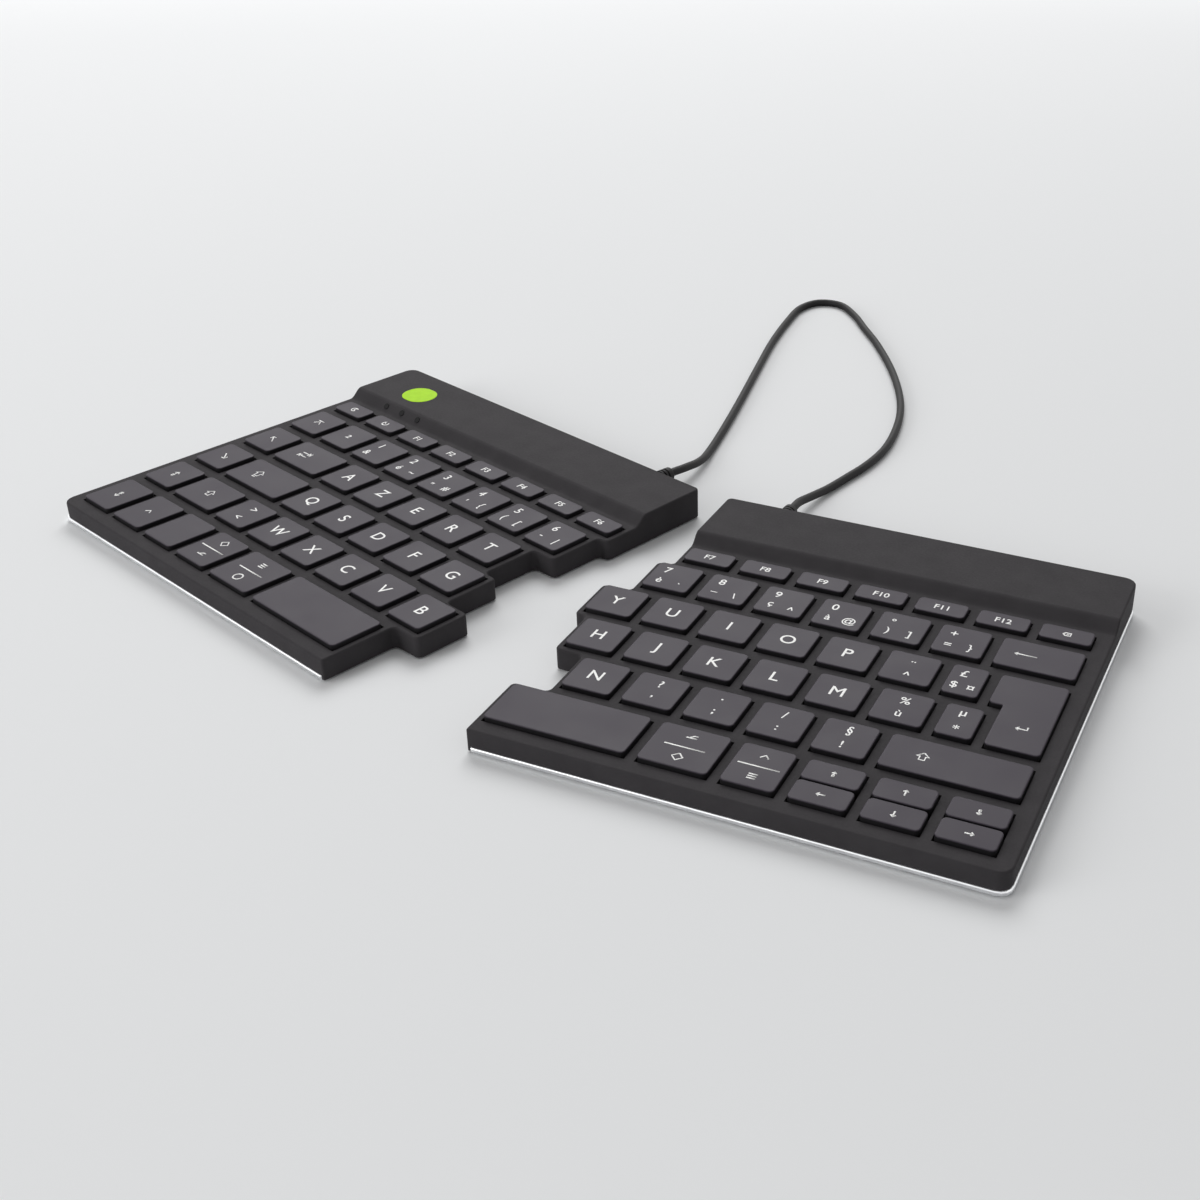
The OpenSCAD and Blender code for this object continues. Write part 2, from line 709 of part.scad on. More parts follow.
module right_bottom_keys() {
    key_set(-1, [[5, 3], [5, 4]]);
    pair_keys();
}

left_top_case();
left_base_plate();
left_key_frame();
left_membrane();
left_controller();
left_feet();
left_screws();
left_gland();
status_lens();
indicator_lenses();
battery();
charge_socket();
power_switch();
right_top_case();
right_base_plate();
right_key_frame();
right_membrane();
right_controller();
right_feet();
right_screws();
right_gland();
link_cable();
key_a();
key_z();
key_e();
key_r();
key_t();
key_q();
key_s();
key_d();
key_f();
key_g();
key_w();
key_x();
key_c();
key_v();
key_b();
left_space();
left_function_keys();
left_number_keys();
left_outer_keys();
left_wide_keys();
left_bottom_keys();
key_y();
key_u();
key_i();
key_o();
key_p();
key_h();
key_j();
key_k();
key_l();
key_m();
key_n();
right_space();
key_enter();
right_function_keys();
right_number_keys();
right_symbol_keys();
right_bottom_keys();
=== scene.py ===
import json
import math

import bmesh
import bpy
from mathutils import Matrix, Vector

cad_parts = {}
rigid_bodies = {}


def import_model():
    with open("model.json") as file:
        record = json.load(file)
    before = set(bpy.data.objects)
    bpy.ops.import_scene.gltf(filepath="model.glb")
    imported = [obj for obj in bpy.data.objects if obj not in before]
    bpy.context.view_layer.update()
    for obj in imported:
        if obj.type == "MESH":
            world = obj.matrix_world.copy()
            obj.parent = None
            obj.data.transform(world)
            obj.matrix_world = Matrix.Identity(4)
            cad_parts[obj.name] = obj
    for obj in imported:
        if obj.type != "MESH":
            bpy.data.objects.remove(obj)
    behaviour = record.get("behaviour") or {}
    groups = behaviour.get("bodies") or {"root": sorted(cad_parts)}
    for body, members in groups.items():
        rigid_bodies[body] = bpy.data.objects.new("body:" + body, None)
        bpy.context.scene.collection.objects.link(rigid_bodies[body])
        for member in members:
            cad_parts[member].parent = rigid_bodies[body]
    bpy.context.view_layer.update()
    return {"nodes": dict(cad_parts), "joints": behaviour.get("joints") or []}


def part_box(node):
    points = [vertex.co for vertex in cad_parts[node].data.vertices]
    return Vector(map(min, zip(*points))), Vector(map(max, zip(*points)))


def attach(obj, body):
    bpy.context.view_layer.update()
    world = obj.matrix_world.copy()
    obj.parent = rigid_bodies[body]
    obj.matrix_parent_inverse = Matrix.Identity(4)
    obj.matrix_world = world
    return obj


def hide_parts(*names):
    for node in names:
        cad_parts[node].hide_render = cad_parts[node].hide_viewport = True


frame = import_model()
nodes = frame["nodes"]
mm = 0.001
splay = math.radians(9.5)    # how far each half is turned
halves = {"left": "left_half", "right": "right_half"}
halfTurn = {"left_half": -splay, "right_half": splay}
print("frame:", len(nodes), "nodes")


# small helpers

weld = 0.002 * mm            # points of a solid that lie nearer than this are one
oneFlat = math.radians(0.5)  # faces that differ by less than this lie in one plane


def linearColour(hexCode):
    channels = [int(hexCode[i:i + 2], 16) / 255 for i in (1, 3, 5)]
    return [c / 12.92 if c <= 0.04045 else ((c + 0.055) / 1.055) ** 2.4 for c in channels] + [1]


def addNode(tree, kind, inputs=None, **settings):
    node = tree.nodes.new(kind)
    for name, value in settings.items():
        setattr(node, name, value)
    for name, value in (inputs or {}).items():
        if isinstance(value, bpy.types.NodeSocket):
            tree.links.new(value, node.inputs[name])
        else:
            node.inputs[name].default_value = value
    return node


def addObject(name, data):
    thing = bpy.data.objects.new(name, data)
    bpy.context.scene.collection.objects.link(thing)
    return thing


def meshFrom(work, name):
    mesh = bpy.data.meshes.new(name)
    work.to_mesh(mesh)
    work.free()
    return mesh


# the evaluated object as a plain mesh; the object that made it goes
def plainMesh(thing):
    bpy.context.view_layer.update()
    graph = bpy.context.evaluated_depsgraph_get()
    mesh = bpy.data.meshes.new_from_object(thing.evaluated_get(graph))
    bpy.data.objects.remove(thing)
    return mesh


def smoothByAngle(mesh, degrees=35):
    mesh.polygons.foreach_set("use_smooth", [True] * len(mesh.polygons))
    mesh.set_sharp_from_angle(angle=math.radians(degrees))


def pieceName(node, kind):
    return node.replace("_", "-") + "-" + kind


# one finished piece: a mesh in place, with its finish, riding on a body; ink and contacts have no slot
def addPiece(name, mesh, material, body, replaced=()):
    mesh.name = name
    mesh.materials.clear()
    mesh.materials.append(material)
    piece = addObject(name, mesh)
    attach(piece, body)
    if replaced:
        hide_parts(*replaced)
    return piece


# neighbouring triangles that lie in one plane become one face
def joinFlat(work):
    work.normal_update()
    bmesh.ops.dissolve_limit(
        work, angle_limit=oneFlat, verts=work.verts, edges=work.edges, delimit=set())
    work.normal_update()


# a copy of a CAD node, its loose triangles joined at their corners
def weldedCopy(node):
    work = bmesh.new()
    work.from_mesh(nodes[node].data)
    bmesh.ops.remove_doubles(work, verts=work.verts, dist=weld)
    return work


# a closed skin over a run of loops that all have as many points
def skinLoops(loops):
    work = bmesh.new()
    rows = [[work.verts.new(point) for point in loop] for loop in loops]
    count = len(rows[0])
    for low, high in zip(rows, rows[1:]):
        for i in range(count):
            j = (i + 1) % count
            work.faces.new((low[i], low[j], high[j], high[i]))
    work.faces.new(reversed(rows[0]))
    work.faces.new(rows[-1])
    return work


# a closed loop inside a square-cornered outline, its corners rounded;
# an inner corner bends the other way
def roundedLoop(corners, inset, height, radius, nook, steps):
    loop = []
    count = len(corners)
    for i, corner in enumerate(corners):
        back = (corners[i - 1] - corner).normalized()
        ahead = (corners[(i + 1) % count] - corner).normalized()
        inner = back.cross(ahead) > 0
        bend = nook if inner else radius
        centre = corner + (back + ahead) * bend
        reach = bend + inset if inner else bend - inset
        for k in range(steps + 1):
            turn = math.pi / 2 * k / steps
            spot = centre - ahead * reach * math.cos(turn) - back * reach * math.sin(turn)
            loop.append((spot.x, spot.y, height))
    return loop


def boxCorners(low, high):
    return [Vector(p) for p in ((low.x, low.y), (high.x, low.y), (high.x, high.y), (low.x, high.y))]


def evenTurns(sides):
    return [2 * math.pi * k / sides for k in range(sides)]


# rings about Z for a turned shape, from its radius and height at each step
def turnedLoops(profile, sides):
    return [[(r * math.cos(a), r * math.sin(a), z) for a in evenTurns(sides)] for r, z in profile]


# the separate solids of a node, each as a list of points
def solidsOf(node):
    work = weldedCopy(node)
    known = set()
    found = []
    for first in work.verts:
        if first in known:
            continue
        known.add(first)
        front = [first]
        group = []
        while front:
            point = front.pop()
            group.append(point.co.copy())
            for line in point.link_edges:
                other = line.other_vert(point)
                if other not in known:
                    known.add(other)
                    front.append(other)
        found.append(group)
    work.free()
    return found


# points in the axes of their own half
def ownPoints(points, half):
    back = Matrix.Rotation(-halfTurn[half], 3, "Z")
    return [back @ p for p in points]


# lowest and highest corner of some points, in the axes of their own half
def ownBox(points, half):
    spots = ownPoints(points, half)
    return (Vector([min(p[i] for p in spots) for i in range(3)]),
            Vector([max(p[i] for p in spots) for i in range(3)]))


# the view

photoCamera = {
    "place": (0.28976, -0.36095, 0.26631),
    "heading": 32.60,        # degrees from +Y towards -X
    "tilt": 29.66,           # degrees below the horizon
    "roll": 0.459,
    "lens": 49.15,           # this and the sensor's width in millimetres
    "sensor": 36,
    "nearest": 0.01,         # metres from which things are drawn
    "axisPixel": (735.5, 579.6),
    "imageSize": 1200,
}


def makeCamera(view):
    camera = addObject("camera", bpy.data.cameras.new("camera"))
    camera.data.lens = view["lens"]
    camera.data.sensor_width = view["sensor"]
    half = view["imageSize"] / 2
    camera.data.shift_x = (half - view["axisPixel"][0]) / view["imageSize"]
    camera.data.shift_y = (view["axisPixel"][1] - half) / view["imageSize"]
    turn = Matrix.Rotation(math.radians(view["heading"]), 4, "Z")
    lean = Matrix.Rotation(math.radians(90 - view["tilt"]), 4, "X")
    roll = Matrix.Rotation(math.radians(view["roll"]), 4, "Z")
    camera.matrix_world = Matrix.Translation(view["place"]) @ turn @ lean @ roll
    camera.data.clip_start = view["nearest"]
    bpy.context.scene.camera = camera


makeCamera(photoCamera)
print("camera set")


# materials

noiseLook = {
    "patchLayers": 3,        # how many finer layers the noise of patches has
    "grainLayers": 2,
    "shadeStops": (0.35, 0.65),  # where the noise is wholly one shade or the other
    "span": (0.3, 0.7),      # what the noise mostly stays within
}


def startMaterial(name, colour, sockets):
    material = bpy.data.materials.new(name)
    material.use_nodes = True
    tree = material.node_tree
    shader = tree.nodes["Principled BSDF"]
    shader.inputs["Base Color"].default_value = linearColour(colour)
    for socket, value in sockets.items():
        shader.inputs[socket].default_value = value
    place = addNode(tree, "ShaderNodeTexCoord").outputs["Object"]
    return material, tree, shader, place


# two close shades of one colour, in soft patches of a given size
def mottle(tree, shader, place, shades, size):
    noise = addNode(tree, "ShaderNodeTexNoise", {
        "Vector": place, "Scale": 1 / size, "Detail": noiseLook["patchLayers"]})
    ramp = addNode(tree, "ShaderNodeValToRGB", {"Fac": noise.outputs["Fac"]})
    for stop, shade, spot in zip(ramp.color_ramp.elements, shades, noiseLook["shadeStops"]):
        stop.color = linearColour(shade)
        stop.position = spot
    tree.links.new(ramp.outputs["Color"], shader.inputs["Base Color"])
    return noise


# a fine relief of a given grain and depth; grain that is too fine to show is drawn 0.4 to 0.7 mm wide
def grain(tree, shader, place, size, depth):
    noise = addNode(tree, "ShaderNodeTexNoise", {
        "Vector": place, "Scale": 1 / size, "Detail": noiseLook["grainLayers"]})
    bump = addNode(tree, "ShaderNodeBump", {
        "Height": noise.outputs["Fac"], "Strength": 1, "Distance": depth})
    tree.links.new(bump.outputs["Normal"], shader.inputs["Normal"])
    return noise


# roughness that wanders between two values
def wander(tree, shader, noise, low, high):
    least, most = noiseLook["span"]
    spread = addNode(tree, "ShaderNodeMapRange", {
        "Value": noise.outputs["Fac"], "From Min": least, "From Max": most,
        "To Min": low, "To Max": high})
    tree.links.new(spread.outputs["Result"], shader.inputs["Roughness"])


# moulded ABS from a spark-eroded tool: a dark warm grey that stays matte at every angle;
# its real grain is about 0.1 mm and is drawn coarser so that it shows
def mouldedCase():
    material, tree, shader, place = startMaterial("moulded-abs-case", "#3b393b", {
        "IOR": 1.53, "Specular IOR Level": 0.07})
    mottle(tree, shader, place, ("#393739", "#3d3b3d"), 9 * mm)
    fine = grain(tree, shader, place, 0.7 * mm, 0.03 * mm)
    wander(tree, shader, fine, 0.62, 0.74)
    return material


paintedShadeEdge = (0.4 * mm, 0.1 * mm)  # below a key's top: where the top colour starts over the painted shade of the sides, and where it is whole
mixColours = (6, 7, 2)       # sockets of a Mix node, by number: two colours in, one out


# ABS keycaps with a satin top: a slightly violet grey with a broad soft sheen;
# the sides are painted nearly black, a painted shade for the shadow they lie in
def satinKeys():
    material, tree, shader, place = startMaterial("satin-abs-keycap", "#3a353d", {
        "IOR": 1.5, "Specular IOR Level": 0.15})
    broad = mottle(tree, shader, place, ("#38333b", "#3c373f"), 14 * mm)
    wander(tree, shader, broad, 0.42, 0.50)
    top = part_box("key_a")[1][2]
    height = addNode(tree, "ShaderNodeSeparateXYZ", {"Vector": place}).outputs["Z"]
    start, whole = paintedShadeEdge
    paintedShadeMask = addNode(tree, "ShaderNodeMapRange", {
        "Value": height, "From Min": top - start, "From Max": top - whole}).outputs["Result"]
    satin = shader.inputs["Base Color"].links[0].from_socket
    below, above, mixed = mixColours
    # painted shade: below the top edge the sides take #161517, a near black that stands in for their
    # shade
    blend = addNode(tree, "ShaderNodeMix", {
        "Factor": paintedShadeMask, below: linearColour("#161517"), above: satin}, data_type="RGBA")
    tree.links.new(blend.outputs[mixed], shader.inputs["Base Color"])
    grain(tree, shader, place, 0.5 * mm, 0.008 * mm)
    return material


# pad-printed white ink, thin and slightly uneven
def printedInk():
    material, tree, shader, place = startMaterial("white-pad-ink", "#f6f6f4", {
        "IOR": 1.48, "Roughness": 0.5})
    mottle(tree, shader, place, ("#efefed", "#fbfbf9"), 0.6 * mm)
    return material


# satin rolled aluminium sheet: bright, with straight rolling lines,
# drawn coarser than they are so that they show
def rolledAluminium():
    material, tree, shader, place = startMaterial("rolled-aluminium", "#f4f5f6", {"Metallic": 1})
    slim = 60                # how many times longer than wide a rolling line is
    stretch = addNode(tree, "ShaderNodeMapping", {
        "Vector": place, "Scale": (1, slim, slim)}).outputs["Vector"]
    mottle(tree, shader, stretch, ("#eaebed", "#f8f9fa"), 40 * mm)
    lines = grain(tree, shader, stretch, 30 * mm, 0.01 * mm)
    wander(tree, shader, lines, 0.30, 0.42)
    return material


# PVC cable jacket and boots: near black, smooth, slightly waxy
def cableJacket():
    material, tree, shader, place = startMaterial("pvc-jacket", "#191819", {
        "IOR": 1.52, "Roughness": 0.55, "Specular IOR Level": 0.2})
    mottle(tree, shader, place, ("#171617", "#1b1a1b"), 4 * mm)
    grain(tree, shader, place, 0.5 * mm, 0.01 * mm)
    return material


# moulded rubber pads: black and dull
def padRubber():
    material, tree, shader, place = startMaterial("moulded-rubber", "#191919", {
        "IOR": 1.52, "Roughness": 0.85})
    mottle(tree, shader, place, ("#171717", "#1c1c1c"), 3 * mm)
    grain(tree, shader, place, 0.4 * mm, 0.03 * mm)
    return material


# zinc plated steel: cool grey with a soft shine
def platedSteel():
    material, tree, shader, place = startMaterial("plated-steel", "#b9bbbd", {"Metallic": 1})
    fine = grain(tree, shader, place, 0.6 * mm, 0.006 * mm)
    wander(tree, shader, fine, 0.28, 0.42)
    return material


# thin gold plating on the contacts: warm and bright
def goldPlating():
    material, tree, shader, place = startMaterial("gold-plating", "#d8b25c", {"Metallic": 1})
    fine = grain(tree, shader, place, 0.4 * mm, 0.004 * mm)
    wander(tree, shader, fine, 0.24, 0.36)
    return material


# tinted acrylic lens, finely frosted: an even bright lime green with hardly any shine
def greenAcrylic():
    material, tree, shader, place = startMaterial("lime-acrylic", "#aee31a", {
        "IOR": 1.49, "Roughness": 0.45, "Specular IOR Level": 0.08})
    mottle(tree, shader, place, ("#aadf16", "#b2e71e"), 3 * mm)
    return material


# smoked acrylic: almost black until it is lit
def smokedAcrylic():
    material, tree, shader, place = startMaterial("smoked-acrylic", "#0b0a0c", {
        "IOR": 1.49, "Roughness": 0.35, "Specular IOR Level": 0.12})
    mottle(tree, shader, place, ("#0a090b", "#0d0c0e"), 2 * mm)
    return material


# glass-fibre circuit board under green lacquer, with copper runs showing as paler lines
def circuitBoard():
    material, tree, shader, place = startMaterial("green-circuit-board", "#1f5a30", {
        "IOR": 1.55, "Roughness": 0.35})
    runs = addNode(tree, "ShaderNodeTexBrick", {
        "Vector": place, "Scale": 1 / (8 * mm), "Mortar Size": 0.05,
        "Color1": linearColour("#1c532c"), "Color2": linearColour("#215f33"),
        "Mortar": linearColour("#3a7f4c")})
    tree.links.new(runs.outputs["Color"], shader.inputs["Base Color"])
    return material


# foil pouch of a flat cell: dull silver with faint creases
def pouchFoil():
    material, tree, shader, place = startMaterial("pouch-foil", "#a9acb0", {
        "Metallic": 1, "Roughness": 0.45})
    grain(tree, shader, place, 6 * mm, 0.2 * mm)
    return material


# silicone sheet: grey and dull, with soft patches
def siliconeSheet():
    material, tree, shader, place = startMaterial("silicone-sheet", "#5a5b5c", {
        "IOR": 1.41, "Roughness": 0.6})
    mottle(tree, shader, place, ("#565758", "#5e5f60"), 5 * mm)
    return material


# plain black injection moulding of the key frames, the switch and the socket's tongue: evenly dull
def innerMoulding():
    material, tree, shader, place = startMaterial("black-abs-frame", "#2a2a2b", {
        "IOR": 1.53, "Roughness": 0.55})
    mottle(tree, shader, place, ("#272728", "#2d2d2e"), 6 * mm)
    grain(tree, shader, place, 0.6 * mm, 0.02 * mm)
    return material


caseFinish, keyFinish, inkFinish = mouldedCase(), satinKeys(), printedInk()
sheetFinish, jacketFinish, rubberFinish = rolledAluminium(), cableJacket(), padRubber()
steelFinish, greenFinish, darkFinish = platedSteel(), greenAcrylic(), smokedAcrylic()
boardFinish, foilFinish, siliconeFinish = circuitBoard(), pouchFoil(), siliconeSheet()
frameFinish, goldFinish = innerMoulding(), goldPlating()
print("materials made")


# the link cable

cable = {
    "diameter": 3 * mm,
    "length": 0.449,
    "sides": 14,
    "smoothAngle": 50,
    "route": [  # millimetres, from inside the left boot to inside the right one
        (-18.61, 74.96, 6), (-18.08, 78.12, 6), (-17.63, 85.37, 5), (-18.63, 96.37, 3),
        (-22.63, 109.37, 1.6), (-29.63, 130.37, 1.6), (-38.63, 155.37, 1.6), (-50.63, 187.37, 1.6),
        (-61.63, 217.37, 1.6), (-69.63, 244.37, 1.6), (-72.63, 259.37, 1.6), (-69.63, 270.37, 1.6),
        (-59.63, 273.37, 1.6), (-47.63, 265.37, 1.6), (-35.63, 253.37, 1.6), (-21.63, 239.37, 1.6),
        (-3.63, 218.37, 1.6), (11.37, 197.37, 1.6), (21.37, 179.37, 1.6), (28.37, 161.37, 1.6),
        (32.37, 145.37, 1.6), (33.37, 130.37, 1.6), (32.37, 116.37, 1.6), (31.37, 104.37, 1.8),
        (30.87, 93.37, 3.2), (31.37, 84.37, 5), (32.88, 77.46, 6), (33.40, 74.30, 6)],
    "steps": 6,              # straight pieces between two points
}


# a smooth curve through points, each stretch shaped by the points before and after it
def smoothRoute(points, steps):
    spots = [Vector(p) * mm for p in points]
    last = len(spots) - 1
    curve = []
    for i in range(last):
        a, b, c, d = spots[max(i - 1, 0)], spots[i], spots[i + 1], spots[min(i + 2, last)]
        for k in range(steps):
            t = k / steps
            curve.append(0.5 * (2 * b + (c - a) * t + (2 * a - 5 * b + 4 * c - d) * t ** 2
                                + (3 * b - a - 3 * c + d) * t ** 3))
    return curve + [spots[last]]


def newTree(name, inputs):
    tree = bpy.data.node_groups.new(name, "GeometryNodeTree")
    tree.interface.new_socket("Geometry", in_out="INPUT", socket_type="NodeSocketGeometry")
    for label, kind in inputs:
        tree.interface.new_socket(label, in_out="INPUT", socket_type=kind)
    tree.interface.new_socket("Geometry", in_out="OUTPUT", socket_type="NodeSocketGeometry")
    return tree, addNode(tree, "NodeGroupInput").outputs


# how a tree turns a shape about Z
def turnShape(tree, shape, turn):
    spin = addNode(tree, "ShaderNodeCombineXYZ", {"Z": turn})
    return addNode(tree, "GeometryNodeTransform", {
        "Geometry": shape, "Rotation": spin.outputs["Vector"]}).outputs["Geometry"]


# how every tree ends: copies made real, with their finish
def endTree(tree, shape, material):
    whole = addNode(tree, "GeometryNodeRealizeInstances", {"Geometry": shape})
    dressed = addNode(tree, "GeometryNodeSetMaterial", {
        "Geometry": whole.outputs["Geometry"], "Material": material})
    addNode(tree, "NodeGroupOutput", {"Geometry": dressed.outputs["Geometry"]})
    return tree


def runTree(thing, tree, values):
    modifier = thing.modifiers.new(tree.name, "NODES")
    modifier.node_group = tree
    for item in tree.interface.items_tree:
        if item.in_out == "INPUT" and item.name in values:
            modifier[item.identifier] = values[item.name]
    return plainMesh(thing)


# a round jacket drawn along a curve
def jacketTree():
    tree, given = newTree("round jacket", [("Diameter", "NodeSocketFloat"), ("Sides", "NodeSocketInt")])
    radius = addNode(tree, "ShaderNodeMath", {0: given["Diameter"], 1: 0.5}, operation="MULTIPLY")
    ring = addNode(tree, "GeometryNodeCurvePrimitiveCircle", {
        "Resolution": given["Sides"], "Radius": radius.outputs["Value"]})
    tube = addNode(tree, "GeometryNodeCurveToMesh", {
        "Curve": given["Geometry"], "Profile Curve": ring.outputs["Curve"], "Fill Caps": True})
    return endTree(tree, tube.outputs["Mesh"], jacketFinish)


def makeCable():
    points = smoothRoute(cable["route"], cable["steps"])
    curve = bpy.data.curves.new("cable route", "CURVE")
    curve.dimensions = "3D"
    spline = curve.splines.new("POLY")
    spline.points.add(len(points) - 1)
    for spot, point in zip(spline.points, points):
        spot.co = (*point, 1)
    mesh = runTree(addObject("cable route", curve), jacketTree(), {
        "Diameter": cable["diameter"], "Sides": cable["sides"]})
    smoothByAngle(mesh, cable["smoothAngle"])
    node = "link_cable"
    piece = addPiece(pieceName(node, "jacket"), mesh, jacketFinish, node, [node])


makeCable()
print("cable laid")


# the stage

studio = {
    "floorColour": "#eff0f1",
    "white": (1, 1, 1, 1),
    "floorSize": 8.0,
    "fade": (0.9, 2.6),      # how far off the floor starts and ends going over into white
    "glow": 0.72,            # what the far floor adds to its own light to be white
    "ambient": 0.34,         # light from all round
    "lamps": [  # name, place, size, watts
        ("high soft box", (-1.25, 1.70, 2.15), 2.0, 53.0),
        ("side fill", (-2.15, -1.25, 1.25), 1.8, 8.0),
        ("low front fill", (-0.95, -1.55, 0.55), 1.0, 13.0),
    ],
    "aim": (0.0, 0.03, 0.0),
}


# 1 for what the camera sees, straight or in gloss or glass, and 0 for the light on the object
def seenRays(tree):
    rays = addNode(tree, "ShaderNodeLightPath").outputs
    seen = rays["Is Camera Ray"]
    for kind in ("Is Glossy Ray", "Is Transmission Ray"):
        both = addNode(tree, "ShaderNodeMath", {0: seen, 1: rays[kind]}, operation="MAXIMUM")
        seen = both.outputs["Value"]
    return seen


# a wide plain floor that goes over into the white behind it
def makeFloor():
    work = bmesh.new()
    bmesh.ops.create_grid(work, x_segments=1, y_segments=1, size=studio["floorSize"] / 2)
    floor = addObject("floor", meshFrom(work, "floor"))
    material, tree, shader, place = startMaterial("pale-floor", studio["floorColour"], {
        "Roughness": 0.9, "Specular IOR Level": 0, "Emission Color": studio["white"]})
    away = addNode(tree, "ShaderNodeVectorMath", {0: place}, operation="LENGTH").outputs["Value"]
    near, far = studio["fade"]
    white = addNode(tree, "ShaderNodeMapRange", {
        "Value": away, "From Min": near, "From Max": far, "To Max": studio["glow"]},
        interpolation_type="SMOOTHSTEP")
    glow = addNode(tree, "ShaderNodeMath", {
        0: white.outputs["Result"], 1: seenRays(tree)}, operation="MULTIPLY")
    tree.links.new(glow.outputs["Value"], shader.inputs["Emission Strength"])
    floor.data.materials.append(material)


def makeWorld():
    world = bpy.data.worlds.new("studio")
    bpy.context.scene.world = world
    world.use_nodes = True
    tree = world.node_tree
    level = addNode(tree, "ShaderNodeMapRange", {
        "Value": seenRays(tree), "To Min": studio["ambient"], "To Max": 1})
    back = tree.nodes["Background"]
    back.inputs["Color"].default_value = studio["white"]
    tree.links.new(level.outputs["Result"], back.inputs["Strength"])


def makeLamps():
    for name, place, size, watts in studio["lamps"]:
        lamp = addObject(name, bpy.data.lights.new(name, "AREA"))
        lamp.data.size = size
        lamp.data.energy = watts
        lamp.visible_camera = False
        aim = Vector(studio["aim"]) - Vector(place)
        facing = aim.to_track_quat("-Z", "Y").to_matrix().to_4x4()
        lamp.matrix_world = Matrix.Translation(place) @ facing


makeFloor()
makeWorld()
makeLamps()
bpy.context.scene.view_settings.view_transform = "Standard"
print("stage lit")


# keycaps

capShape = {
    "cornerRadius": 1.5 * mm,
    "nookRadius": 0.4 * mm,  # an inner corner
    "cornerSteps": 5,
    "edgeRadius": 0.28 * mm,
    "edgeSteps": 3,
    "edgeBand": 0.25 * mm,   # narrow flat inside the rounding, so that the top is shaded level
    "smoothAngle": 40,
    "wall": 1.0 * mm,
    "crown": 1.0 * mm,       # thickness of the top
    "depth": 3.7 * mm,       # from the top to the skirt's lower edge
    "stem": 3.4 * mm,
    "stemDepth": 4.7 * mm,
    "topSlack": 0.01 * mm,   # points this close below the highest one belong to the top
    "reach": 2 * mm,         # more than a rounded corner, less than the step in the Enter key
}


# how far in and how far up from the top each ring of a keycap lies,
# from under the top down the inside, and up the outside to the flat
def capRings():
    shape = capShape
    rings = [(shape["wall"], -shape["crown"]), (shape["wall"], -shape["depth"]), (0, -shape["depth"])]
    edge, steps = shape["edgeRadius"], shape["edgeSteps"]
    for k in range(steps + 1):
        turn = math.pi / 2 * k / steps
        rings.append((edge * (1 - math.cos(turn)), edge * (math.sin(turn) - 1)))
    return rings + [(edge + shape["edgeBand"], 0)]


def capMesh(corners):
    shape = capShape
    return skinLoops([roundedLoop(
        corners, inset, height, shape["cornerRadius"], shape["nookRadius"], shape["cornerSteps"])
        for inset, height in capRings()])


# the cap with no straight sides at all;
# each corner's points know which way they move when it is stretched
def makeMould():
    r = capShape["cornerRadius"]
    work = capMesh(boxCorners(Vector((-r, -r)), Vector((r, r))))
    steps = capShape["cornerSteps"] + 1
    count = len(work.verts)
    signs = [(-1, -1, 0), (1, -1, 0), (1, 1, 0), (-1, 1, 0)]
    sides = [signs[i // steps % len(signs)] for i in range(count)]
    stem = bmesh.ops.create_cube(work, size=capShape["stem"])["verts"]
    low, high = -capShape["stemDepth"], -capShape["crown"] / 2
    for point in stem:
        point.co.z = high if point.co.z > 0 else low
    sides += [(0, 0, 0)] * len(stem)
    mesh = meshFrom(work, "cap mould")
    sideValues = mesh.attributes.new("side", "FLOAT_VECTOR", "POINT")
    sideValues.data.foreach_set("vector", [v for side in sides for v in side])
    return addObject("cap mould", mesh)


# a stretched copy of the mould on every point, turned into place
def keycapTree(mould):
    tree, given = newTree("keycaps", [("Turn", "NodeSocketFloat")])
    shape = addNode(tree, "GeometryNodeObjectInfo", {"Object": mould})
    caps = addNode(tree, "GeometryNodeInstanceOnPoints", {
        "Points": given["Geometry"], "Instance": shape.outputs["Geometry"]})
    whole = addNode(tree, "GeometryNodeRealizeInstances", {"Geometry": caps.outputs["Instances"]})
    known = [addNode(tree, "GeometryNodeInputNamedAttribute", {"Name": name}, data_type="FLOAT_VECTOR")
             for name in ("side", "stretch")]
    side, stretch = [node.outputs["Attribute"] for node in known]
    shift = addNode(tree, "ShaderNodeVectorMath", {0: side, 1: stretch}, operation="MULTIPLY")
    sized = addNode(tree, "GeometryNodeSetPosition", {
        "Geometry": whole.outputs["Geometry"], "Offset": shift.outputs["Vector"]})
    turned = turnShape(tree, sized.outputs["Geometry"], given["Turn"])
    return endTree(tree, turned, keyFinish)


# height and points of a solid's top, in its half's own axes
def topFace(solid, half):
    points = ownPoints(solid, half)
    height = max(p.z for p in points)
    return height, [p for p in points if p.z > height - capShape["topSlack"]]


# the keys of a node in its half's own axes: lowest and highest corner of each top, rows from the back
def keyTops(node, half):
    tops = []
    for solid in solidsOf(node):
        height, face = topFace(solid, half)
        low = Vector((min(p.x for p in face), min(p.y for p in face), height))
        high = Vector((max(p.x for p in face), max(p.y for p in face), height))
        tops.append((low, high))
    return sorted(tops, key=lambda top: (-round((top[0].y + top[1].y) / mm), top[0].x))


def addCaps(node, mesh):
    smoothByAngle(mesh, capShape["smoothAngle"])
    addPiece(pieceName(node, "caps"), mesh, keyFinish, node, [node])


def makeCaps(tree, node, half, tops):
    mesh = bpy.data.meshes.new("key places")
    mesh.from_pydata([(low + high) / 2 for low, high in tops], [], [])
    r = capShape["cornerRadius"]
    stretch = mesh.attributes.new("stretch", "FLOAT_VECTOR", "POINT")
    sizes = [(high - low) / 2 - Vector((r, r, 0)) for low, high in tops]
    stretch.data.foreach_set("vector", [v for size in sizes for v in size])
    caps = runTree(addObject("key places", mesh), tree, {"Turn": halfTurn[half]})
    for name in ("side", "stretch"):
        caps.attributes.remove(caps.attributes[name])
    addCaps(node, caps)


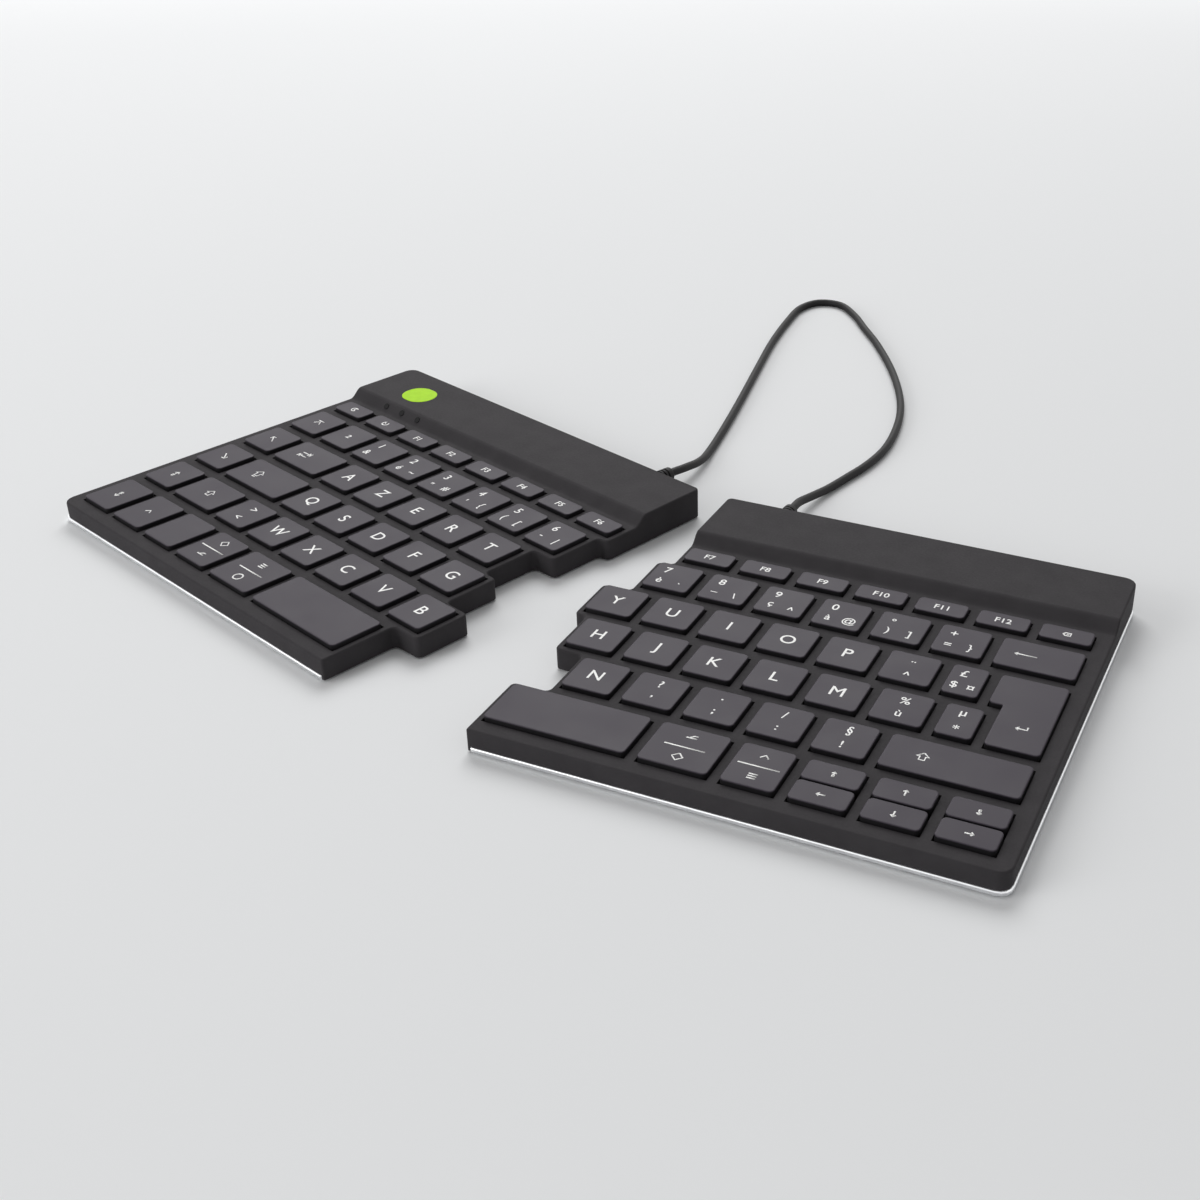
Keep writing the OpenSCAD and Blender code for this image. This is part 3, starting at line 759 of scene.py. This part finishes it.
# the Enter key is wider in its upper row, so it has an outline of its own
def makeEnter(node, half):
    height, face = topFace(solidsOf(node)[0], half)
    left, right = min(p.x for p in face), max(p.x for p in face)
    front, rear = min(p.y for p in face), max(p.y for p in face)
    lowLeft = min(p.x for p in face if p.y < front + capShape["reach"])
    step = min(p.y for p in face if p.x < lowLeft - capShape["reach"] / 2)
    corners = [Vector(p) for p in (
        (lowLeft, front), (right, front), (right, rear), (left, rear), (left, step), (lowLeft, step))]
    cap = meshFrom(capMesh(corners), "enter cap")
    cap.transform(Matrix.Rotation(halfTurn[half], 4, "Z") @ Matrix.Translation((0, 0, height)))
    addCaps(node, cap)
    return [(Vector((lowLeft, front, height)), Vector((right, rear, height)))]


keyHalf = {j["child"]: j["parent"] for j in frame["joints"] if j["name"].endswith("_press")}
mould = makeMould()
capTree = keycapTree(mould)
keyPlaces = {}
for node, half in keyHalf.items():
    if node == "key_enter":
        keyPlaces[node] = makeEnter(node, half)
    else:
        keyPlaces[node] = keyTops(node, half)
        makeCaps(capTree, node, half, keyPlaces[node])
bpy.data.objects.remove(mould)
print("keycaps:", sum(len(tops) for tops in keyPlaces.values()))


# legends

legend = {
    "font": 1.42,            # letter size for a capital of height 1
    "bold": 0.05 * mm,       # how much the strokes are fattened
    "proud": 0.02 * mm,      # thickness of the ink on the key
    "sink": 0.004 * mm,
    "stroke": 0.52 * mm,     # width of a drawing's lines
    "weld": 0.0001 * mm,
}
markPlaces = {  # x and y from the middle of the key, and height, in millimetres
    "letter": [(-0.2, 0.2, 4.5)],
    "small": [(0, 0, 2.6)],
    "digits": [(-3.2, 3.4, 3.3), (-3.4, -3.2, 3.1), (3.4, -3.2, 3.1)],
    "narrow": [(-1.2, 3.4, 3.3), (-2.6, -3.2, 3.1), (2.4, -3.2, 3.1)],
    "stacked": [(0, 3.4, 3.3), (0, -3.2, 3.1)],
    "split": [(0, 4.6, 3.2), (0, 0, 12), (0, -4.6, 3.2)],
}


# points on an arc, from its middle, radius, first angle, step and count
def arcLine(x, y, radius, first, step, count):
    turns = [first + k * step for k in range(count)]
    return [(x + radius * math.cos(a), y + radius * math.sin(a)) for a in turns]


def turnedLines(lines, quarters):
    for _ in range(quarters):
        lines = [[(-y, x) for x, y in line] for line in lines]
    return lines


# line drawings for keys that would carry a word; most fill a square from -1 to 1
arrowUp = [[(0, -1), (0, 1)], [(-0.6, 0.4), (0, 1), (0.6, 0.4)]]
bigArrow = [(0, 1), (1, 0.1), (0.45, 0.1), (0.45, -0.8), (-0.45, -0.8), (-0.45, 0.1), (-1, 0.1), (0, 1)]
pageArrow = arrowUp + [[(-0.4, -0.3), (0.4, -0.3)], [(-0.4, -0.7), (0.4, -0.7)]]
cornerArrow = [[(0.9, -0.9), (-0.8, 0.8)], [(-0.8, -0.1), (-0.8, 0.8), (0.1, 0.8)]]
stopArrow = [[(-1, 0.5), (0.8, 0.5)], [(0.4, 0.9), (0.85, 0.5), (0.4, 0.1)], [(1, 0.95), (1, 0.05)]]
ringLine = arcLine(0, 0, 1, 0, math.pi / 10, 21)
drawings = {
    "up": arrowUp,
    "left": turnedLines(arrowUp, 1),
    "down": turnedLines(arrowUp, 2),
    "right": turnedLines(arrowUp, 3),
    "shift": [bigArrow],
    "lock": [bigArrow, [(-0.45, -1.2), (0.45, -1.2)]],
    "tab": stopArrow + turnedLines(stopArrow, 2),
    "enter": [[(1, 0.8), (1, -0.1), (-1, -0.1)], [(-0.45, 0.4), (-1, -0.1), (-0.45, -0.6)]],
    "longLeft": [[(2.2, 0), (-2.2, 0)], [(-1.6, 0.5), (-2.2, 0), (-1.6, -0.5)]],
    "pageUp": pageArrow,
    "pageDown": turnedLines(pageArrow, 2),
    "home": cornerArrow,
    "end": turnedLines(cornerArrow, 2),
    "ring": [ringLine],
    "escape": [ringLine[8:] + ringLine[1:4], [(0, 0), (-0.95, 0.95)],
               [(-0.95, 0.4), (-0.95, 0.95), (-0.4, 0.95)]],
    "bars": [[(-0.8, y), (0.8, y)] for y in (-0.6, 0, 0.6)],
    "diamond": [[(0, 1), (1, 0), (0, -1), (-1, 0), (0, 1)]],
    "caret": [[(-0.8, -0.4), (0, 0.5), (0.8, -0.4)]],
    "branch": [[(-1, 0), (1, 0)], [(-0.4, 0), (0.3, 0.7), (1, 0.7)]],
    "erase": [[(-1, 0), (-0.4, 0.75), (1, 0.75), (1, -0.75), (-0.4, -0.75), (-1, 0)],
              [(0, 0.32), (0.6, -0.32)], [(0, -0.32), (0.6, 0.32)]],
    "insert": [[(-0.9, -0.6), (0, 0.5), (0.9, -0.6)], [(-0.9, 0.8), (0.9, 0.8)]],
    "night": [arcLine(0, 0, 1, 0.6, 0.22, 23) + arcLine(0.55, 0.2, 0.62, 4.7, -0.3, 10)],
    "divider": [[(-1, 0), (1, 0)]],
}


# what one key carries: its signs or drawings, each with its place and height
def marked(layout, signs):
    return [(sign, *place) for sign, place in zip(signs, markPlaces[layout])]


# keys side by side that have one layout
def keyRow(layout, *keys):
    return [marked(layout, signs) for signs in keys]


def functionRow(first, last):
    return [marked("small", ["F%d" % k]) for k in range(first, last + 1)]


def drawn(name, height, x=0, y=0):
    return [(name, x, y, height)]


def split(upper, lower):
    return marked("split", (upper, "divider", lower))


keyMarks = {"key_" + sign: keyRow("letter", sign.upper()) for sign in "azertqsdfgwxcvbyuiophjklmn"}
keyMarks.update({
    "left_function_keys": [drawn("night", 2.5), drawn("escape", 2.5)] + functionRow(1, 6),
    "left_number_keys": keyRow("letter", "\u00b2")
    + keyRow("digits", "1&", "2\u00e9~", "3\"#", "4'{", "5([", "6-|"),
    "left_outer_keys": [drawn(name, 3.5) for name in ("insert", "home", "end", "pageUp", "pageDown")],
    "left_wide_keys": [drawn("tab", 4.4, -3.5), drawn("lock", 4.0, -5), drawn("shift", 3.8)]
    + keyRow("stacked", "><"),
    "left_bottom_keys": [drawn("caret", 3.2), [], split("diamond", "branch"), split("bars", "ring")],
    "right_function_keys": functionRow(7, 12) + [drawn("erase", 2.3)],
    "right_number_keys": keyRow("digits", "7\u00e8`", "8_\\", "9\u00e7^", "0\u00e0@", "\u00b0)]", "+=}")
    + [drawn("longLeft", 3.0, -4)],
    "right_symbol_keys": keyRow("stacked", "\u00a8^") + keyRow("narrow", "\u00a3$\u00a4")
    + keyRow("stacked", "%\u00f9", "\u00b5*", "?,", ".;", "/:", "\u00a7!") + [drawn("shift", 3.6, -9)],
    "right_bottom_keys": [
        drawn("pageUp", 2.2), drawn("up", 2.4), drawn("pageDown", 2.2),
        split("branch", "diamond"), split("caret", "bars"),
        drawn("left", 2.4), drawn("down", 2.4), drawn("right", 2.4)],
    "key_enter": [drawn("enter", 3.2, 0, -7)],
})


# a mark pressed down to the thickness of the ink
def flattened(mesh, thickness):
    flat = (legend["proud"] + legend["sink"]) / thickness
    mesh.transform(Matrix.Diagonal((1, 1, flat, 1)))
    return mesh


def textMesh(sign, height):
    text = bpy.data.curves.new("sign", "FONT")
    text.body = sign
    text.size = height * mm * legend["font"]
    text.align_x = "CENTER"
    text.extrude = legend["bold"]
    text.bevel_depth = legend["bold"]
    text.bevel_resolution = 0
    mesh = plainMesh(addObject("sign", text))
    ys = [v.co.y for v in mesh.vertices]
    xs = [v.co.x for v in mesh.vertices]
    mesh.transform(Matrix.Translation((-(min(xs) + max(xs)) / 2, -(min(ys) + max(ys)) / 2, 0)))
    return flattened(mesh, 4 * legend["bold"])  # extrude and bevel, on both faces


def drawingMesh(name, height):
    curve = bpy.data.curves.new("drawing", "CURVE")
    curve.dimensions = "3D"
    curve.bevel_depth = legend["stroke"] / 2
    curve.bevel_resolution = 1
    curve.use_fill_caps = True
    for line in drawings[name]:
        spline = curve.splines.new("POLY")
        spline.points.add(len(line) - 1)
        for spot, (x, y) in zip(spline.points, line):
            spot.co = (x * height * mm / 2, y * height * mm / 2, 0, 1)
    return flattened(plainMesh(addObject("drawing", curve)), legend["stroke"])


markCache = {}


def markMesh(sign, height):
    if (sign, height) not in markCache:
        make = drawingMesh if sign in drawings else textMesh
        markCache[sign, height] = make(sign, height)
    return markCache[sign, height]


def makeLegends(node, half, tops):
    work = bmesh.new()
    turn = Matrix.Rotation(halfTurn[half], 4, "Z")
    rise = (legend["proud"] - legend["sink"]) / 2
    for (low, high), marks in zip(tops, keyMarks[node]):
        middle = (low + high) / 2
        for sign, x, y, height in marks:
            place = turn @ Matrix.Translation(middle + Vector((x * mm, y * mm, rise)))
            copy = markMesh(sign, height).copy()
            copy.transform(place)
            work.from_mesh(copy)
            bpy.data.meshes.remove(copy)
    bmesh.ops.remove_doubles(work, verts=work.verts, dist=legend["weld"])
    bmesh.ops.recalc_face_normals(work, faces=work.faces)
    mesh = meshFrom(work, "legends")
    addPiece(pieceName(node, "legends"), mesh, inkFinish, node)


for node in keyMarks:
    makeLegends(node, keyHalf[node], keyPlaces[node])
print("legends:", len(keyMarks), "sets")


# shells, plates and fittings from the CAD solids, with the edges a mould or a press leaves

edges = {  # width of the rounding, its steps
    "case": (0.7 * mm, 4),
    "plate": (0.4 * mm, 3),
    "foot": (0.25 * mm, 3),
    "switch": (0.3 * mm, 3),
    "socket": (0.12 * mm, 2),
}
rim = {  # what tells the edges that are rounded from the others
    "upright": 0.05,         # how much a wall may look up or down
    "caseTop": 0.65,         # how much the top of a case looks up, at its steepest
    "level": 0.9,            # how much the faces of a plate or a foot look up or down
    "caseFrom": 7 * mm,      # lowest height of a case's rim
    "caseWall": 3 * mm,      # a case's outer walls start below this height
    "plateWall": 1 * mm,     # those of a plate or a foot start below this one
    "corner": 1.0,           # least turn at a corner of a small fitting, in radians
}
rearEdge = {  # the rounded edge that a bar has in CAD
    "reach": 1.3 * mm,       # how far it comes forward
    "slant": 0.2,            # how much its faces look up and back, at least
    "weld": 0.2 * mm,
}


# square edges between an upright wall and a face that looks up, or up or down
def rimEdges(work, upOnly=True):
    found = []
    for line in work.edges:
        if len(line.link_faces) != 2 or not line.is_convex:
            continue
        wall, top = sorted(line.link_faces, key=lambda face: abs(face.normal.z))
        looks = top.normal.z > rim["caseTop"] if upOnly else abs(top.normal.z) > rim["level"]
        if abs(wall.normal.z) < rim["upright"] and looks:
            found.append((line, wall))
    return found


def lowest(shape):
    return min(v.co.z for v in shape.verts)


# the rim of a case: on an outer wall, above the openings of the rear one
def caseRim(work):
    found = []
    for line, wall in rimEdges(work):
        outer = lowest(wall) < rim["caseWall"]
        if outer and lowest(line) > rim["caseFrom"]:
            found.append(line)
    return found


def outerRim(work):
    return [line for line, wall in rimEdges(work, False) if lowest(wall) < rim["plateWall"]]


def allCorners(work):
    ridges = [line for line in work.edges if len(line.link_faces) == 2 and line.is_convex]
    return [line for line in ridges if line.calc_face_angle() > rim["corner"]]


# the bar's rounded rear edge made square again, so that one rounding can run right round the rim
def squareRear(work, half):
    back = Matrix.Rotation(halfTurn[half], 3, "Z") @ Vector((0, 1, 0))
    top = max(v.co.z for v in work.verts)
    rear = max(v.co.dot(back) for v in work.verts) - rearEdge["reach"]
    rounded = set()
    for face in work.faces:
        nearRear = all(v.co.dot(back) > rear for v in face.verts)
        if nearRear and min(face.normal.z, face.normal.dot(back)) > rearEdge["slant"]:
            rounded.update(face.verts)
    raised = [v for v in work.verts if v in rounded]
    for point in raised:
        point.co.z = top
    bmesh.ops.remove_doubles(work, verts=raised, dist=rearEdge["weld"])
    joinFlat(work)


# a copy of a CAD node with rounded edges; the large faces keep their own direction in the shading
def softened(node, width, steps, pick, squared=None):
    work = weldedCopy(node)
    joinFlat(work)
    if squared:
        squareRear(work, squared)
    share = work.edges.layers.float.new("bevel_weight_edge")
    for line in pick(work):
        line[share] = 1
    thing = addObject(node, meshFrom(work, node))
    bevel = thing.modifiers.new("rounding", "BEVEL")
    bevel.limit_method = "WEIGHT"
    bevel.width = width
    bevel.segments = steps
    bevel.use_clamp_overlap = False
    mesh = plainMesh(thing)
    smoothByAngle(mesh)
    thing = addObject(node, mesh)
    flow = thing.modifiers.new("flow", "WEIGHTED_NORMAL")
    flow.weight = 100        # the largest faces count alone
    flow.keep_sharp = True
    return plainMesh(thing)


def dress(node, edge, pick, material, body, squared=None):
    mesh = softened(node, *edges[edge], pick, squared)
    addPiece(pieceName(node, "shell"), mesh, material, body, [node])


for side, half in halves.items():
    dress(side + "_top_case", "case", caseRim, caseFinish, half, half)
    dress(side + "_base_plate", "plate", outerRim, sheetFinish, half)
    dress(side + "_feet", "foot", outerRim, rubberFinish, half)
print("shells softened")


# fittings

# a mesh made in a half's own axes, set down where that half stands
def standing(mesh, half):
    mesh.transform(Matrix.Rotation(halfTurn[half], 4, "Z"))
    return mesh


lens = {
    "corner": 6.05 * mm,
    "cornerSteps": 14,
    "overlap": 0.12 * mm,    # how far the rim covers the edge of its opening
    "plugGap": 0.35 * mm,
    "rise": 0.2 * mm,        # from the bar to the top of the CAD lens
    "smoothAngle": 50,
    "rings": [  # in from the edge and up from the bar, in millimetres
        (-0.12, 0.05), (-0.06, 0.09), (0.15, 0.12), (0.8, 0.15), (2.2, 0.18), (4.2, 0.195)],
}


# a low green dome with a rim that lies on the bar
def makeLens():
    node, half = "status_lens", "left_half"
    low, high = ownBox(solidsOf(node)[0], half)
    seat = high.z - lens["rise"]
    rings = [(lens["plugGap"], low.z), (lens["plugGap"], seat), (-lens["overlap"], seat)]
    rings += [(inset * mm, seat + rise * mm) for inset, rise in lens["rings"]]
    corners = boxCorners(low, high)
    work = skinLoops([roundedLoop(
        corners, inset, height, lens["corner"], 0, lens["cornerSteps"]) for inset, height in rings])
    mesh = meshFrom(work, "lens")
    smoothByAngle(mesh, lens["smoothAngle"])
    addPiece(pieceName(node, "dome"), standing(mesh, half), greenFinish, half, [node])


boot = {
    "sides": 36,
    "collar": 3.6 * mm,
    "neck": 2.98 * mm,
    "tip": 2.5 * mm,
    "wall": 1.0 * mm,        # thickness of the case wall that the collar grips
    "length": 9.0 * mm,      # outside the wall
    "ribs": 4,
    "firstGroove": 1.5 * mm,
    "ribStep": 1.55 * mm,
    "groove": (0.45 * mm, 0.75 * mm),  # depth, width
    "grooveSlope": 0.2,      # share of the width that each side of a groove takes
    "bore": 1.95 * mm,
    "boreDepth": 1.8 * mm,
    "lipRound": (0.3, 0.6),  # how far the mouth is rounded outside and inside, as shares of its lip
}


def bootRadius(out):
    return boot["neck"] + (boot["tip"] - boot["neck"]) * out / boot["length"]


# radius and distance from the wall, from the collar inside to the bottom of the cable's bore
def bootProfile(collarBack):
    collar, neck, tip = boot["collar"], boot["neck"], boot["tip"]
    wall, length, bore = boot["wall"], boot["length"], boot["bore"]
    profile = [(collar, collarBack), (collar, -wall), (neck, -wall), (neck, 0)]
    depth, width = boot["groove"]
    ease = width * boot["grooveSlope"]
    for k in range(boot["ribs"]):
        out = boot["firstGroove"] + k * boot["ribStep"]
        floor = bootRadius(out) - depth
        profile += [(bootRadius(out), out), (floor, out + ease),
                    (floor, out + width - ease), (bootRadius(out + width), out + width)]
    lip = (tip - bore) / 2
    outside, inside = [lip * share for share in boot["lipRound"]]
    profile += [(tip, length - lip), (tip - outside, length - outside),
                (tip - lip, length), (bore, length - inside)]
    return profile + [(bore, length - boot["boreDepth"])]


def makeBoot(node, half):
    low, high = ownBox(solidsOf(node)[0], half)
    wallY = high.y - boot["length"]
    mesh = meshFrom(skinLoops(turnedLoops(bootProfile(low.y - wallY), boot["sides"])), "boot")
    middle = (low + high) / 2
    lying = Matrix.Rotation(-math.pi / 2, 4, "X")
    mesh.transform(Matrix.Translation((middle.x, wallY, middle.z)) @ lying)
    smoothByAngle(mesh)
    addPiece(pieceName(node, "boot"), standing(mesh, half), jacketFinish, half, [node])


# copies of a small shape on points
def scatterTree(name, shape, material):
    tree, given = newTree(name, [("Turn", "NodeSocketFloat")])
    pattern = addNode(tree, "GeometryNodeObjectInfo", {"Object": shape})
    copies = addNode(tree, "GeometryNodeInstanceOnPoints", {
        "Points": given["Geometry"], "Instance": pattern.outputs["Geometry"]})
    turned = turnShape(tree, copies.outputs["Instances"], given["Turn"])
    return endTree(tree, turned, material)


# copies of a mesh at places given in a half's own axes
def scatter(name, shape, places, half, material):
    pattern = addObject(name, shape)
    spots = bpy.data.meshes.new("places")
    spots.from_pydata(places, [], [])
    tree = scatterTree(name, pattern, material)
    mesh = runTree(addObject("places", spots), tree, {"Turn": halfTurn[half]})
    bpy.data.objects.remove(pattern)
    smoothByAngle(mesh)
    return mesh


screw = {
    "sides": 24,
    "head": 1.7 * mm,
    "headHeight": 0.7 * mm,
    "shank": 0.9 * mm,
    "ease": 0.12 * mm,
    "recess": 0.8 * mm,      # from the middle to a flat of the hexagon
    "recessDepth": 0.45 * mm,
}


# a point of the hexagonal recess
def hexPoint(turn):
    sector = math.pi / 3
    reach = screw["recess"] / math.cos(turn % sector - sector / 2)
    return reach * math.cos(turn), reach * math.sin(turn)


# a pan-head screw that stands on its head, with its recess below
def screwMesh(length):
    head, ease, shank, top = screw["head"], screw["ease"], screw["shank"], screw["headHeight"]
    sides = screw["sides"]
    loops = [[(*hexPoint(a), z) for a in evenTurns(sides)] for z in (screw["recessDepth"], 0)]
    profile = [(head - ease, 0), (head, ease), (head, top - ease), (head - ease, top),
               (shank, top), (shank, length - shank / 2), (shank / 2, length)]
    return meshFrom(skinLoops(loops + turnedLoops(profile, sides)), "screw")


def makeScrews(node, half):
    boxes = [ownBox(solid, half) for solid in solidsOf(node)]
    length = boxes[0][1].z - boxes[0][0].z
    places = [((low.x + high.x) / 2, (low.y + high.y) / 2, low.z) for low, high in boxes]
    mesh = scatter("screw", screwMesh(length), places, half, steelFinish)
    addPiece(pieceName(node, "set"), mesh, steelFinish, half, [node])


# places in a row about its middle
def evenSteps(count, step):
    return [(k - (count - 1) / 2) * step for k in range(count)]


def boxMesh(size, ease):
    work = bmesh.new()
    bmesh.ops.create_cube(work, size=1, matrix=Matrix.Diagonal((*size, 1)))
    bmesh.ops.bevel(work, geom=work.edges[:], offset=ease, segments=2, affect="EDGES", profile=0.5)
    return meshFrom(work, "box")


socket = {
    "tongue": (6.6 * mm, 5.2 * mm, 0.7 * mm),
    "tongueEase": 0.15 * mm,
    "setBack": 1.2 * mm,     # from the mouth to the tongue
    "contact": (0.3 * mm, 3.4 * mm, 0.06 * mm),
    "contactEase": 0.02 * mm,
    "contacts": 9,
    "contactStep": 0.62 * mm,
}


# the tongue in the charging socket, with its row of contacts
def makeTongue():
    node, half = "charge_socket", "left_half"
    low, high = ownBox(solidsOf(node)[0], half)
    depth, thick = socket["tongue"][1:]
    front = high.y - socket["setBack"]
    middle = Vector(((low.x + high.x) / 2, front - depth / 2, (low.z + high.z) / 2))
    tongue = boxMesh(socket["tongue"], socket["tongueEase"])
    tongue.transform(Matrix.Translation(middle))
    smoothByAngle(tongue)
    addPiece(pieceName(node, "tongue"), standing(tongue, half), frameFinish, half)
    steps = evenSteps(socket["contacts"], socket["contactStep"])
    places = [middle + Vector((x, 0, thick / 2)) for x in steps]
    strip = boxMesh(socket["contact"], socket["contactEase"])
    strips = scatter("contact", strip, places, half, goldFinish)
    addPiece(pieceName(node, "contacts"), strips, goldFinish, half)


knob = {
    "rib": (0.4 * mm, 0.3 * mm, 1.7 * mm),
    "ribEase": 0.1 * mm,
    "ribs": 3,
    "ribStep": 0.95 * mm,
}


# grip ribs across the switch knob
def makeKnobRibs():
    node, half = "power_switch", "left_half"
    low, high = ownBox([p for solid in solidsOf(node) for p in solid], half)
    middle = Vector(((low.x + high.x) / 2, high.y, (low.z + high.z) / 2))
    places = [middle + Vector((x, 0, 0)) for x in evenSteps(knob["ribs"], knob["ribStep"])]
    ribs = scatter("knob rib", boxMesh(knob["rib"], knob["ribEase"]), places, half, frameFinish)
    addPiece(pieceName(node, "ribs"), ribs, frameFinish, node)


makeLens()
dress("power_switch", "switch", allCorners, frameFinish, "power_switch")
makeKnobRibs()
dress("charge_socket", "socket", allCorners, steelFinish, "left_half")
makeTongue()
for side, half in halves.items():
    makeBoot(side + "_gland", half)
    makeScrews(side + "_screws", half)
print("fittings made")

plainFinish = {
    "indicator_lenses": darkFinish,
    "battery": foilFinish,
    "left_key_frame": frameFinish,
    "right_key_frame": frameFinish,
    "left_membrane": siliconeFinish,
    "right_membrane": siliconeFinish,
    "left_controller": boardFinish,
    "right_controller": boardFinish,
}
for node, material in plainFinish.items():
    nodes[node].data.materials.clear()
    nodes[node].data.materials.append(material)
print("inner parts finished")
